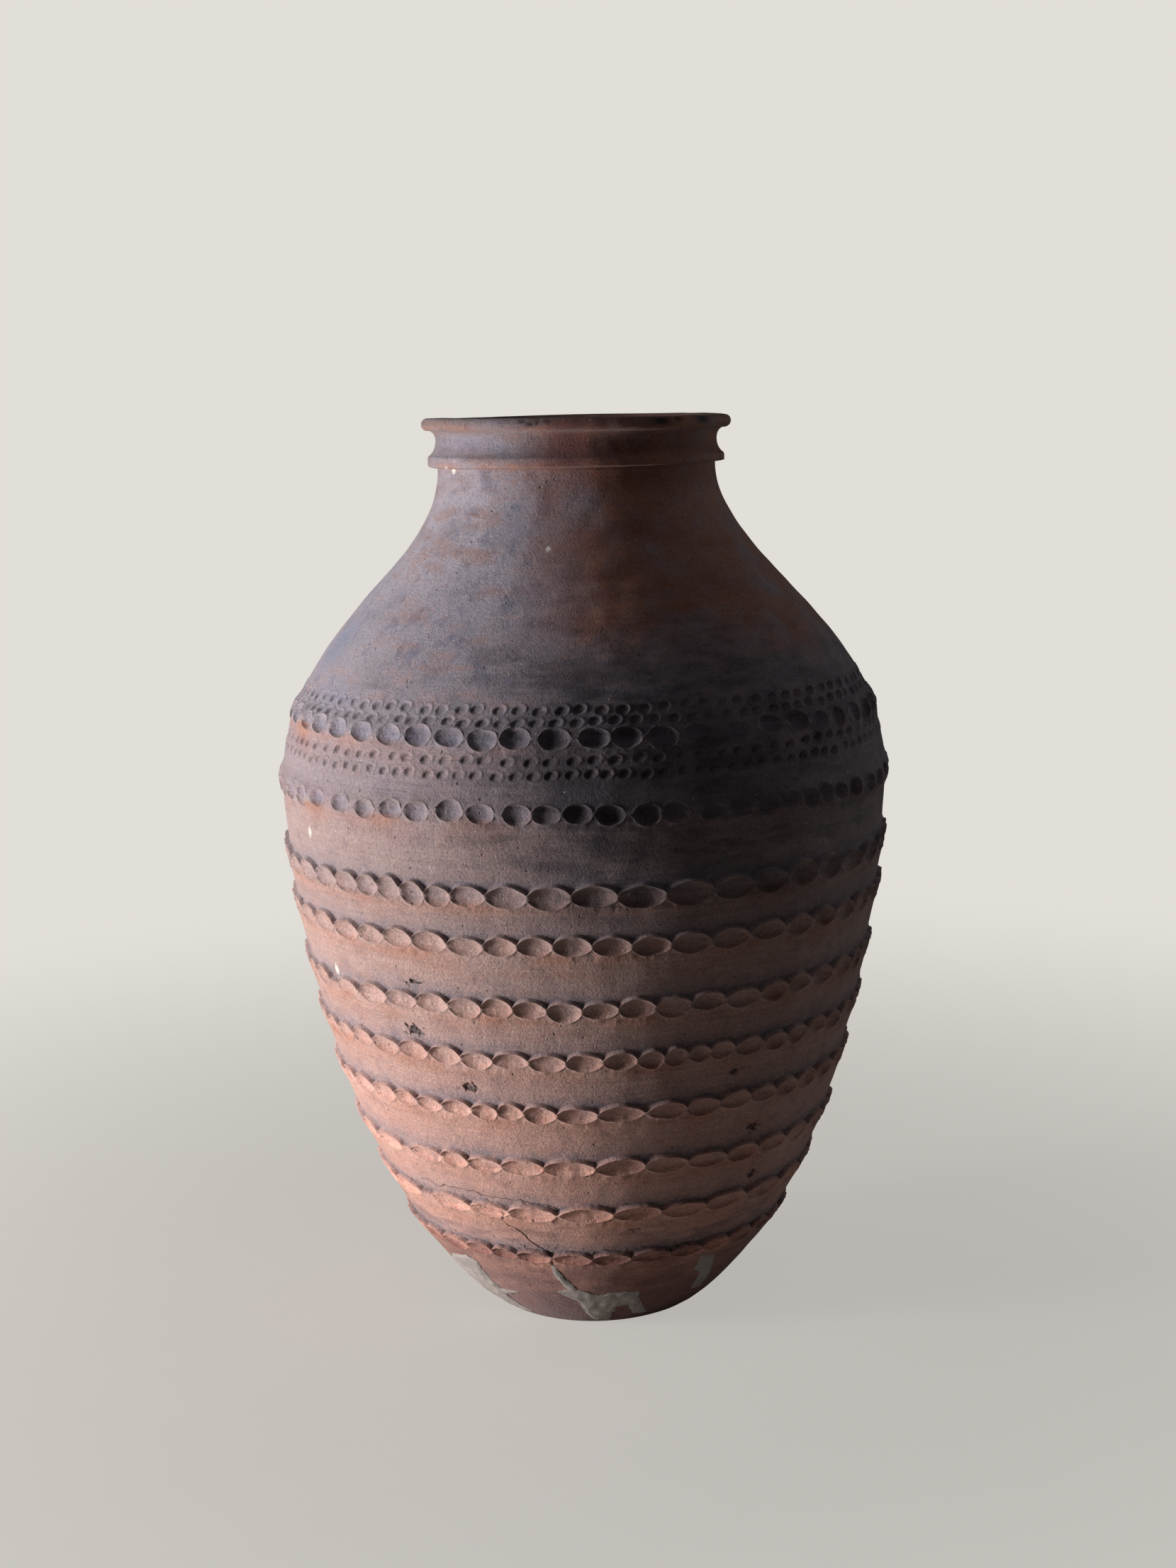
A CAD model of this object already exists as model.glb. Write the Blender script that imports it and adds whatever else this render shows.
import math

import bmesh
import bpy
import numpy as np
from mathutils import Matrix, Vector, geometry


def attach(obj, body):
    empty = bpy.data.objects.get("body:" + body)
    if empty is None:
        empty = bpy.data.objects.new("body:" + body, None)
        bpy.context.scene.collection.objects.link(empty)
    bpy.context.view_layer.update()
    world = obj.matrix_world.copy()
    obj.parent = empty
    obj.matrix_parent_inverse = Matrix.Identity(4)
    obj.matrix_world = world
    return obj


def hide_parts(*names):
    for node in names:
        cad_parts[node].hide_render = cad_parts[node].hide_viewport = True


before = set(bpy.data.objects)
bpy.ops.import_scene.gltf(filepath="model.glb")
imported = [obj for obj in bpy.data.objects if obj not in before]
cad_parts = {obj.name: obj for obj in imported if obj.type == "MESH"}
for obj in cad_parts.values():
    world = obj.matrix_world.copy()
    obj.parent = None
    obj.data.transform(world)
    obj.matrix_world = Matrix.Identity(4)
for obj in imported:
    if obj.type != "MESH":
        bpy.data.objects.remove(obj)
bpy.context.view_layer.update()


# The base disc. A pat of red clay beaten flat on the bench, the first piece that was made. Its edge
# is turned up to start the wall and is left bevelled, so that the foot can be luted on to it.
FOOT_RADIUS = 0.090
FOOT_RISE_ANGLE = math.radians(35)
BELLY_RADIUS = 0.268
BELLY_HEIGHT = 0.482
NECK_RADIUS = 0.122
NECK_TOP = 0.758
FOOT_SWEEP = 0.36
BELLY_SWEEP_BELOW = 0.12
BELLY_SWEEP_ABOVE = 0.50
NECK_SWEEP = 0.32
CURVE_POINTS = 500

WALL = 0.015
SEAM_LAP = 0.006
FLOOR = 0.020
FOOT_SEAM = 0.016
HEEL_SIDE = 0.004
HEEL_EASE = 0.0005
HEEL_ROWS = 14
FLOOR_RINGS = (0.030, 0.060)
BENCH_FLAT = 0.001
SHARP_CORNER = math.radians(58)
SECTORS = 30
BASE_STEPS = 12

# The wall's outside, from the edge of the foot to the top of the neck, and its length up the slope
foot_sweep = FOOT_SWEEP * BELLY_HEIGHT
shoulder_height = NECK_TOP - BELLY_HEIGHT
below_belly = geometry.interpolate_bezier(
    Vector((FOOT_RADIUS, 0, 0)),
    Vector((
        FOOT_RADIUS + foot_sweep * math.cos(FOOT_RISE_ANGLE),
        0,
        foot_sweep * math.sin(FOOT_RISE_ANGLE),
    )),
    Vector((BELLY_RADIUS, 0, BELLY_HEIGHT - BELLY_SWEEP_BELOW * BELLY_HEIGHT)),
    Vector((BELLY_RADIUS, 0, BELLY_HEIGHT)),
    CURVE_POINTS,
)
above_belly = geometry.interpolate_bezier(
    Vector((BELLY_RADIUS, 0, BELLY_HEIGHT)),
    Vector((BELLY_RADIUS, 0, BELLY_HEIGHT + BELLY_SWEEP_ABOVE * shoulder_height)),
    Vector((NECK_RADIUS, 0, NECK_TOP - NECK_SWEEP * shoulder_height)),
    Vector((NECK_RADIUS, 0, NECK_TOP)),
    CURVE_POINTS,
)
outline = np.array([(point.x, point.z) for point in below_belly + above_belly[1:]])
outline_slope = np.append(0, np.cumsum(np.hypot(*np.diff(outline, axis=0).T)))
outline_lean = np.gradient(outline, outline_slope, axis=0)
outline_lean /= np.linalg.norm(outline_lean, axis=1, keepdims=True)


def slope_at(height):
    """How far up the wall's slope a height lies."""
    return np.interp(height, outline[:, 1], outline_slope)


def wall_radius(height):
    """Distance of the wall's outside from the jar's axis at a height."""
    return np.interp(height, outline[:, 1], outline[:, 0])


def on_outside(radius, height):
    """Whether places on a piece belong to the outside of the wall."""
    return radius > wall_radius(height) - WALL / 3


def wall_point(slope, proud=0.0, lift=0.0):
    """Radius and height of a place on the wall, stood out from it and slid up it."""
    radius = np.interp(slope, outline_slope, outline[:, 0])
    height = np.interp(slope, outline_slope, outline[:, 1])
    lean_out = np.interp(slope, outline_slope, outline_lean[:, 0])
    lean_up = np.interp(slope, outline_slope, outline_lean[:, 1])
    return radius + proud * lean_up + lift * lean_out, height - proud * lean_out + lift * lean_up


def inner_point(slope):
    """The inside of the wall behind a place on the outside, along the bevel of a seam."""
    return wall_point(slope, proud=-WALL, lift=-SEAM_LAP)


def turned(section, steps):
    """A closed half section spun through one sector of the jar, which is then copied all round."""
    shape = bmesh.new()
    corners = [shape.verts.new((radius, 0, height)) for radius, height in section]
    sides = [shape.edges.new(pair) for pair in zip(corners, corners[1:] + corners[:1])]
    sector = 2 * math.pi / SECTORS
    spindle = {"cent": (0, 0, 0), "axis": (0, 0, 1)}
    bmesh.ops.spin(shape, geom=corners + sides, angle=sector, steps=steps, **spindle)
    slice_of_jar = shape.verts[:] + shape.edges[:] + shape.faces[:]
    round_the_rest = {"angle": 2 * math.pi - sector, "steps": SECTORS - 1, "use_duplicate": True}
    bmesh.ops.spin(shape, geom=slice_of_jar, **round_the_rest, **spindle)
    bmesh.ops.remove_doubles(shape, verts=shape.verts, dist=1e-6)
    loose = [edge for edge in shape.edges if not edge.link_faces]
    bmesh.ops.delete(shape, geom=loose, context="EDGES")
    bmesh.ops.recalc_face_normals(shape, faces=shape.faces)
    return shape


def finished(shape, name):
    """The shape as a smooth-shaded object at the origin."""
    mesh = bpy.data.meshes.new(name)
    shape.to_mesh(mesh)
    shape.free()
    mesh.polygons.foreach_set("use_smooth", np.ones(len(mesh.polygons), dtype=bool))
    mesh.set_sharp_from_angle(angle=SHARP_CORNER)
    piece = bpy.data.objects.new(name, mesh)
    bpy.context.scene.collection.objects.link(piece)
    return piece


def round_jar(points):
    """Angle round the jar, distance from its axis and height of points."""
    right, back, height = points.T
    return np.arctan2(back, right), np.hypot(right, back), height


def points_of(piece):
    """The points of a piece, as angles, radii and heights."""
    points = np.empty(len(piece.data.vertices) * 3)
    piece.data.vertices.foreach_get("co", points)
    return round_jar(points.reshape(-1, 3))


def move_points(piece, angle, radius, height):
    """Puts every point of a piece at an angle, radius and height."""
    moved = np.stack([radius * np.cos(angle), radius * np.sin(angle), height], axis=1)
    piece.data.vertices.foreach_set("co", moved.ravel())
    piece.data.update()


def waves(seed, count, shortest, longest, size):
    """A seeded sum of waves that cross the jar in all directions, for the unevenness of hand work."""
    chance = np.random.default_rng(seed)
    ways = chance.normal(size=(count, 3))
    ways /= np.linalg.norm(ways, axis=1, keepdims=True)
    ways *= 2 * math.pi / chance.uniform(shortest, longest, (count, 1))
    start = chance.uniform(0, 2 * math.pi, count)
    share = size * math.sqrt(2 / count)

    def sample(angle, height):
        radius = wall_radius(height)
        right = radius * np.cos(angle)
        back = radius * np.sin(angle)
        total = np.zeros_like(angle)
        for way, phase in zip(ways, start):
            total += np.sin(way[0] * right + way[1] * back + way[2] * height + phase)
        return share * total

    return sample


out_of_round = waves(11, 6, 0.35, 0.8, 0.0008)
palm_dents = waves(12, 24, 0.08, 0.20, 0.00040)
finger_dents = waves(13, 40, 0.016, 0.045, 0.00013)


def hand_built(angle, height):
    """How far the outside of the wall stands off its true curve."""
    dents = palm_dents(angle, height) + finger_dents(angle, height)
    return out_of_round(angle, height) + dents


def turn_from(middle, angle):
    """The turn from one angle to another, the short way round."""
    return np.angle(np.exp(1j * (angle - middle)))


def near(angle, height, middle, wide, high):
    """A soft spot on the wall: 1 at its middle, falling off over its half width and half height."""
    middle_angle, middle_height = middle
    across = turn_from(math.radians(middle_angle), angle) * wall_radius(height)
    return np.exp(-((across / wide) ** 2) - ((height - middle_height) / high) ** 2)


def rising(value, start, end):
    """A smooth step from 0 at start to 1 at end."""
    share = np.clip((value - start) / (end - start), 0, 1)
    return share * share * (3 - 2 * share)


# Heights of the thumb bands, which mark where dust settles and where red clay shows
BAND_HEIGHTS = (0.090, 0.1365, 0.184, 0.2365, 0.284, 0.330, 0.384, 0.4255, 0.493, 0.553)
# From this height up the bands are plain strips, which hold less dust
STRIPS_START = 0.45
# Fire clouds: angle round the jar and height, half width, half height and strength
SMOKE = (
    ((-91, 0.598), 0.050, 0.024, 0.90),
    ((-104, 0.612), 0.040, 0.018, 0.45),
    ((-100, 0.735), 0.012, 0.026, 0.70),
    ((-118, 0.700), 0.014, 0.012, 0.22),
    ((-132, 0.590), 0.050, 0.016, 0.30),
    ((-148, 0.642), 0.030, 0.016, 0.18),
    ((-124, 0.662), 0.034, 0.012, 0.16),
    ((-140, 0.705), 0.018, 0.016, 0.24),
    ((-158, 0.560), 0.030, 0.010, 0.22),
    ((30, 0.640), 0.080, 0.050, 0.55),
    ((75, 0.330), 0.080, 0.060, 0.40),
    ((110, 0.610), 0.080, 0.050, 0.70),
    ((150, 0.380), 0.090, 0.050, 0.35),
)
# How sooty the belt round the upper body is, and the shoulder and neck over it, at angles round the jar
SOOT_ANGLES = (-180, -160, -130, -112, -105, -99, -93, -80, -62, 0, 60, 120, 180)
BELT_SOOT = (0.15, 0.02, 0.14, 0.28, 0.42, 0.78, 1.00, 0.88, 0.66, 0.55, 0.45, 0.35, 0.15)
CROWN_SOOT = (0.10, 0.00, 0.00, 0.10, 0.26, 0.42, 0.50, 0.38, 0.18, 0.14, 0.30, 0.25, 0.10)
BELT_HEIGHTS = (0.375, 0.410, 0.455, 0.478, 0.505, 0.565, 0.595)
BELT_SHARES = (0.00, 0.45, 0.95, 0.92, 1.00, 1.00, 0.60)
# Smooth bluish patches where the fire was starved of air
BLUE_PATCHES = (
    ((-163, 0.613), 0.030, 0.024, 1.0),
    ((-150, 0.575), 0.050, 0.012, 0.5),
    ((-138, 0.778), 0.050, 0.009, 0.55),
    ((-112, 0.715), 0.016, 0.020, 0.45),
    ((170, 0.660), 0.060, 0.030, 0.7),
)
# Spots where a fleck of lime burst and left a pale scar: place, half width and half height
LIME_SPOTS = (
    ((-149.6, 0.7568), 0.0034, 0.0030), ((-149.0, 0.3400), 0.0030, 0.0055),
    ((-150.5, 0.4600), 0.0028, 0.0050), ((-99.5, 0.6935), 0.0022, 0.0022),
    ((25.0, 0.4500), 0.0035, 0.0040), ((100.0, 0.5200), 0.0030, 0.0030),
)
# Edges of the rim's mouldings, which the fire reddened
RIM_EDGES = (0.7595, 0.7905)
RIM_EDGE_WIDTH = 0.0032
# The side of the jar that faced away from the flames, where the clay stayed grey
GREY_SIDE = math.radians(-165)
# How fast red clay below a band and dust above it thin out
RED_FADE = 0.012
DUST_FADE = 0.012
bloom_drift = waves(21, 30, 0.08, 0.25, 0.5)
ochre_drift = waves(22, 30, 0.03, 0.10, 0.5)
dust_drift = waves(23, 40, 0.015, 0.06, 0.5)


def firing(angle, height):
    """Shares of grey bloom, soot, red-orange clay and reddened soot that the kiln left on the outside."""
    drift = bloom_drift(angle, height)
    red_drift = ochre_drift(angle, height)
    turn = np.degrees(angle) + 3.5 * drift
    drifted = height + 0.010 * drift
    bloom = np.zeros_like(angle)
    for middle, wide, high, strength in BLUE_PATCHES:
        bloom = np.maximum(bloom, strength * near(angle, height, middle, wide, high))
    belt = np.interp(turn, SOOT_ANGLES, BELT_SOOT) * np.interp(drifted, BELT_HEIGHTS, BELT_SHARES)
    crown = np.interp(turn, SOOT_ANGLES, CROWN_SOOT)
    crown = crown * (1 + 0.15 * rising(drifted, 0.66, 0.72) + 0.65 * rising(height, 0.750, 0.762))
    soot = belt + (crown - belt) * rising(drifted, 0.595, 0.640)
    soot = soot * (1 + 0.20 * red_drift)
    for middle, wide, high, strength in SMOKE:
        soot = np.maximum(soot, strength * near(angle, height, middle, wide, high))
    away_from_grey = 0.5 - 0.5 * np.cos(angle - GREY_SIDE)
    ochre = 0.95 * rising(drifted, 0.58, 0.65) * rising(away_from_grey, 0.20, 0.50)
    umber = rising(drifted, 0.60, 0.65) * rising(away_from_grey, 0.13, 0.28)
    for edge in RIM_EDGES:
        ochre = ochre + 0.55 * np.exp(-(((height - edge) / RIM_EDGE_WIDTH) ** 2))
    for band in BAND_HEIGHTS:
        under = np.clip((band - 0.009 - height) / RED_FADE, 0, None)
        starts = rising(band - height + 0.003 * red_drift, 0.005, 0.011)
        ochre = ochre + 0.45 * np.exp(-under) * starts * (1 - 0.8 * soot)
    ochre = np.clip(ochre * (1 + 0.7 * red_drift), 0, 1)
    return bloom, np.clip(soot, 0, 1), ochre, umber


def settled_dust(angle, height):
    """Share of dark grey dust, which lies on the wall just above each band."""
    dust = np.zeros_like(angle)
    for band in BAND_HEIGHTS:
        above = np.clip((height - band - 0.007) / DUST_FADE, 0, None)
        strength = 1.0 if band < STRIPS_START else 0.5
        dust = np.maximum(dust, strength * np.exp(-above) * rising(height, band + 0.001, band + 0.004))
    return np.clip(dust * (0.95 + 0.2 * dust_drift(angle, height)), 0, 1)


def paint(piece, angle, height, dust=None, dark=0.0, soot=0.0, bloom=0.0):
    """Keeps the kiln's colours and the wear of each point for the clay to read."""
    if dust is None:
        dust = settled_dust(angle, height)
    blue, smoke, red, umber = firing(angle, height)
    scar = np.zeros_like(angle)
    for middle, wide, high in LIME_SPOTS:
        scar = np.maximum(scar, rising(near(angle, height, middle, wide, high), 0.25, 0.55))
    layers = {
        "kiln": (np.clip(blue + bloom, 0, 1), np.clip(smoke + soot, 0, 1), red, umber),
        "wear": (np.clip(dust, 0, 1), np.clip(dark, 0, 1), scar, 1),
    }
    for name, channels in layers.items():
        values = np.empty((len(angle), 4))
        for number, channel in enumerate(channels):
            values[:, number] = channel
        layer = piece.data.attributes.new(name, "FLOAT_COLOR", "POINT")
        layer.data.foreach_set("color", values.ravel())


def tint(red, green, blue):
    """A colour as a painter reads it off the jar, 0 to 255, for a shader."""
    shares = [value / 255 for value in (red, green, blue)]
    linear = [s / 12.92 if s <= 0.04045 else ((s + 0.055) / 1.055) ** 2.4 for s in shares]
    return (*linear, 1)


def add_node(tree, kind, settings=None, **sockets):
    """A node with its settings, and its sockets set or linked by name."""
    made = tree.nodes.new("ShaderNode" + kind)
    for name, value in (settings or {}).items():
        setattr(made, name, value)
    for name, value in sockets.items():
        join(tree, value, made.inputs[name.replace("_", " ")])
    return made


def join(tree, value, socket):
    """Links an output to a socket, or sets the socket to a plain value."""
    if isinstance(value, bpy.types.NodeSocket):
        tree.links.new(value, socket)
    else:
        socket.default_value = value


def reckon(tree, operation, *values, clamp=False):
    """One sum of a Math node."""
    made = add_node(tree, "Math", {"operation": operation, "use_clamp": clamp})
    for value, socket in zip(values, made.inputs):
        join(tree, value, socket)
    return made.outputs[0]


def layered(tree, share, under, over, way="MIX"):
    """One colour laid over another by a share."""
    made = add_node(tree, "Mix", {"data_type": "RGBA", "blend_type": way})
    # The node has sockets for other kinds of value too, and these are the ones for colours
    for value, socket in ((share, 0), (under, 6), (over, 7)):
        join(tree, value, made.inputs[socket])
    return made.outputs[2]


def stepped(tree, value, start, end, low=0.0, high=1.0):
    """A value read off a smooth step."""
    ends = {"From_Min": start, "From_Max": end, "To_Min": low, "To_Max": high}
    made = add_node(tree, "MapRange", {"interpolation_type": "SMOOTHSTEP"}, Value=value, **ends)
    return made.outputs[0]


def speckle(tree, where, scale, detail=3.0, roughness=0.55):
    """Soft noise at a scale in features for each metre."""
    made = add_node(tree, "TexNoise", Vector=where, Scale=scale, Detail=detail, Roughness=roughness)
    return made.outputs["Fac"]


def drawn_out(tree, place, around, up, detail, roughness=0.55):
    """Soft noise drawn out round the jar, with features for each metre round it and up it."""
    mapped = add_node(tree, "Mapping", Vector=place, Scale=(around, around, up))
    return speckle(tree, mapped.outputs[0], 1.0, detail, roughness)


def dots(tree, place, scale, edge, channel, rarest):
    """Round dots that fade out from their core to their edge, in the few cells that chance picks."""
    cells = add_node(tree, "TexVoronoi", Vector=place, Scale=scale)
    chance = add_node(tree, "SeparateColor", Color=cells.outputs["Color"]).outputs[channel]
    dot = stepped(tree, cells.outputs["Distance"], *edge, 1, 0)
    return reckon(tree, "MULTIPLY", dot, stepped(tree, chance, *rarest))


def new_material(name):
    """A material with its node tree, its shader and the place on the piece that it colours."""
    material = bpy.data.materials.new(name)
    material.use_nodes = True
    tree = material.node_tree
    place = add_node(tree, "TexCoord").outputs["Object"]
    return material, tree, tree.nodes["Principled BSDF"], place


BLOOM_GREY = tint(134, 140, 166)
SOOT_BROWN = tint(62, 54, 61)
UMBER_RED = tint(112, 70, 68)
OCHRE_RED = tint(184, 126, 102)
DUST_GREY = tint(134, 126, 136)
CRACK_BLACK = tint(30, 24, 23)
GRIT_WHITE = tint(226, 218, 208)
REDDENED = (1.0, 0.80, 0.70, 1)
GREYED = (0.62, 0.65, 0.72, 1)
RUSTED = (1.0, 0.72, 0.60, 1)
# Tones of the clay by height: red foot, pink-buff body, and grey-lilac where the fire was smoky
CLAY_TONES = (
    (0.00, tint(116, 74, 70)), (0.05, tint(134, 88, 82)), (0.085, tint(174, 124, 112)),
    (0.12, tint(233, 180, 163)), (0.21, tint(222, 176, 163)), (0.30, tint(203, 167, 158)),
    (0.36, tint(193, 161, 153)), (0.41, tint(184, 156, 151)), (0.46, tint(181, 159, 156)),
    (0.505, tint(166, 152, 159)), (0.56, tint(165, 156, 166)), (0.62, tint(172, 165, 179)),
    (0.67, tint(176, 168, 181)), (0.72, tint(166, 157, 168)), (0.76, tint(154, 143, 151)),
    (0.80, tint(142, 127, 129)),
)


def fired_clay(name, roughness, wiped, mottled, coarse):
    """Sandy coil-built clay. Its tones run up the jar, then the kiln's colours, dust and pits."""
    material, tree, shader, place = new_material(name)
    height = add_node(tree, "SeparateXYZ", Vector=place).outputs["Z"]
    fired = add_node(tree, "Attribute", {"attribute_name": "kiln"})
    worn = add_node(tree, "Attribute", {"attribute_name": "wear"})
    kiln = add_node(tree, "SeparateColor", Color=fired.outputs["Color"]).outputs
    wear = add_node(tree, "SeparateColor", Color=worn.outputs["Color"]).outputs
    blued, sooted, reddened, umbered = kiln["Red"], kiln["Green"], kiln["Blue"], fired.outputs["Alpha"]
    dusted, cracked, scarred = wear["Red"], wear["Green"], wear["Blue"]

    grain_place = add_node(tree, "Mapping", Vector=place, Rotation=(0.6, 0.4, 0.9)).outputs[0]
    clouds = speckle(tree, grain_place, 9, 4)
    blotches = speckle(tree, grain_place, 52, 5, 0.66)
    flecks = speckle(tree, grain_place, 190, 5, 0.66)
    sand = speckle(tree, grain_place, 640, 4, 0.68)
    smears = drawn_out(tree, place, 20, 80, 6, 0.66)
    wiping = drawn_out(tree, place, 14, 420, 4, 0.6)
    scoring = drawn_out(tree, place, 24, 950, 2, 0.5)

    # The clay's own colour goes by height, with an uneven edge between the tones
    drifted = reckon(tree, "ADD", height, stepped(tree, smears, 0.30, 0.70, -0.030, 0.030))
    ramp = add_node(tree, "ValToRGB", Fac=drifted)
    ramp.color_ramp.elements.remove(ramp.color_ramp.elements[1])
    for number, (stop, colour) in enumerate(CLAY_TONES):
        element = ramp.color_ramp.elements[0] if number == 0 else ramp.color_ramp.elements.new(stop)
        element.position = stop
        element.color = colour
    colour = ramp.outputs["Color"]
    colour = layered(tree, stepped(tree, smears, 0.46, 0.64, 0, mottled), colour, REDDENED, "MULTIPLY")
    colour = layered(tree, stepped(tree, blotches, 0.50, 0.68, 0, mottled), colour, GREYED, "MULTIPLY")
    rust = stepped(tree, flecks, 0.53, 0.64, 0, 0.55 * mottled)
    colour = layered(tree, rust, colour, RUSTED, "MULTIPLY")
    ash = stepped(tree, flecks, 0.38, 0.48, 0.50 * mottled, 0)
    colour = layered(tree, ash, colour, GREYED, "MULTIPLY")

    # Kiln colours, each broken up by the smears and blotches of the clay
    bloom = reckon(tree, "MULTIPLY", blued, stepped(tree, smears, 0.30, 0.58, 0.45, 1.0))
    colour = layered(tree, bloom, colour, BLOOM_GREY)
    ochre = reckon(tree, "MULTIPLY", reddened, stepped(tree, blotches, 0.34, 0.58, 0.65, 1.0))
    colour = layered(tree, ochre, colour, OCHRE_RED)
    broken = reckon(
        tree, "MULTIPLY",
        stepped(tree, smears, 0.42, 0.64, 1.0, 0.88),
        stepped(tree, blotches, 0.46, 0.66, 1.0, 0.92),
    )
    half_sooted = reckon(tree, "MULTIPLY", sooted, reckon(tree, "SUBTRACT", 1.0, sooted))
    streaks = reckon(tree, "MULTIPLY", half_sooted, stepped(tree, smears, 0.34, 0.62, 0.8, -0.8))
    soot = reckon(tree, "MULTIPLY", reckon(tree, "ADD", sooted, streaks, clamp=True), broken)
    colour = layered(tree, soot, colour, layered(tree, umbered, SOOT_BROWN, UMBER_RED))
    dust = reckon(tree, "MULTIPLY", dusted, stepped(tree, flecks, 0.35, 0.58, 0.45, 0.95))
    colour = layered(tree, dust, colour, DUST_GREY)

    # Sand grains, wiping lines and short scored lines lighten and darken the surface
    grain = stepped(tree, sand, 0.30, 0.70, 0.72, 1.20)
    lines = stepped(tree, wiping, 0.30, 0.70, 1 - 0.09 * wiped, 1 + 0.07 * wiped)
    here_and_there = stepped(tree, clouds, 0.50, 0.62)
    scored = reckon(tree, "MULTIPLY", stepped(tree, scoring, 0.62, 0.70, 0, wiped), here_and_there)
    unscored = reckon(tree, "MULTIPLY_ADD", scored, -0.26, 1.0)
    tone = reckon(tree, "MULTIPLY", reckon(tree, "MULTIPLY", grain, lines), unscored)
    grey_tone = add_node(tree, "CombineColor", Red=tone, Green=tone, Blue=tone).outputs[0]
    colour = layered(tree, 1.0, colour, grey_tone, "MULTIPLY")

    # Burnt-out pits, white grits and cracks
    pit = dots(tree, place, 170.0, (0.08, 0.24), "Red", (0.84, 0.98))
    grit = dots(tree, place, 260.0, (0.12, 0.28), "Green", (0.965, 0.985))
    lime = reckon(tree, "MAXIMUM", reckon(tree, "MULTIPLY", grit, 0.6), scarred)
    colour = layered(tree, lime, colour, GRIT_WHITE)
    gap = reckon(tree, "MAXIMUM", reckon(tree, "MULTIPLY", pit, 0.55), cracked)
    colour = layered(tree, gap, colour, CRACK_BLACK)
    join(tree, colour, shader.inputs["Base Color"])

    # Grain stands up, pits and scored lines go in
    relief = reckon(tree, "MULTIPLY", sand, 0.90)
    forms = ((flecks, 1.3 * coarse), (wiping, 0.5 * wiped), (scored, -0.3), (pit, -1.2), (grit, 0.4))
    for form, rise in forms:
        relief = reckon(tree, "MULTIPLY_ADD", form, rise, relief)
    bump = add_node(tree, "Bump", Strength=0.8, Distance=0.0014, Height=relief)
    join(tree, bump.outputs["Normal"], shader.inputs["Normal"])
    rough = stepped(tree, blotches, 0.3, 0.7, roughness - 0.06, roughness + 0.08)
    join(tree, rough, shader.inputs["Roughness"])
    shader.inputs["Specular IOR Level"].default_value = 0.3
    shader.inputs["Sheen Weight"].default_value = 0.28
    shader.inputs["Sheen Roughness"].default_value = 0.45
    return material


red_clay = fired_clay("red_clay", roughness=0.80, wiped=0.4, mottled=0.4, coarse=0.8)


def settle(piece, material, slot_name, *nodes):
    """Gives a piece its clay, and sets it in place of the plain solid that it stands for."""
    piece.data.materials.append(material)
    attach(piece, "root")
    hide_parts(*nodes)


foot_seam_slope = slope_at(FOOT_SEAM)
heel_slopes = np.linspace(HEEL_SIDE, foot_seam_slope, HEEL_ROWS)
base_section = [(radius, 0) for radius in (0, *FLOOR_RINGS, FOOT_RADIUS - HEEL_SIDE)]
base_section += [(FOOT_RADIUS - HEEL_EASE, HEEL_EASE)]
base_section += [wall_point(slope) for slope in heel_slopes]
base_section += [inner_point(foot_seam_slope)]
base_section += [(radius, FLOOR) for radius in (*reversed(FLOOR_RINGS), 0)]
base_disc = finished(turned(base_section, BASE_STEPS), "base_disc_clay")
angle, radius, height = points_of(base_disc)
shaped = on_outside(radius, height) & (height > BENCH_FLAT)
proud = rising(height, BENCH_FLAT, 0.006) * hand_built(angle, height)
placed_radius, placed_height = wall_point(slope_at(height), proud)
placed_radius = np.where(shaped, placed_radius, radius)
placed_height = np.where(shaped, placed_height, height)
move_points(base_disc, angle, placed_radius, placed_height)
paint(base_disc, angle, height)
settle(base_disc, red_clay, "red_clay", "base_disc")


# The foot course. The lowest ring of the wall, a thick coil of the same red clay drawn up from the
# base disc and smoothed with a wet hand. An old crack runs down into it from the first band.
FOOT_STEPS = 30
FOOT_ROW = 0.0022
CRACK_WIDTH = 0.0005
CRACK_DEPTH = 0.0013
CRACK_DARK = 0.85
CRACK_RADIUS = FOOT_RADIUS * 2
CRACK_HALVINGS = 3
CRACK_SWAY = 0.16
CRACK_REACH = 0.004
CRACK_CUTS = 3
# Two cracks, as angles round the jar and heights
CRACKS = (
    ((-115.2, 0.136), (-115.2, 0.1267), (-111.5, 0.117), (-108.6, 0.1049), (-105.9, 0.0986),
     (-102.8, 0.0905), (-103.7, 0.082), (-101.6, 0.074), (-100.6, 0.066)),
    ((-140.5, 0.150), (-128.0, 0.151), (-118.8, 0.1485), (-108.9, 0.149), (-103.2, 0.1452), (-99.0, 0.141)),
)
# Chips: angle round the jar and height, half height and depth, and how much wider than high they are
CHIP_SHAPE = 1.5
CHIPS = (
    ((-124.9, 0.3433), 0.0055, 0.0016), ((-127.0, 0.3009), 0.0060, 0.0018),
    ((-115.6, 0.2554), 0.0050, 0.0014), ((-80.1, 0.1225), 0.0040, 0.0018),
    ((-52.0, 0.205), 0.0045, 0.0016), ((-48.0, 0.155), 0.0040, 0.0016),
    ((-60.0, 0.262), 0.0030, 0.0012), ((20.0, 0.300), 0.0060, 0.0020),
    ((95.0, 0.210), 0.0065, 0.0020), ((140.0, 0.390), 0.0050, 0.0016),
    ((60.0, 0.460), 0.0045, 0.0014),
)


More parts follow.
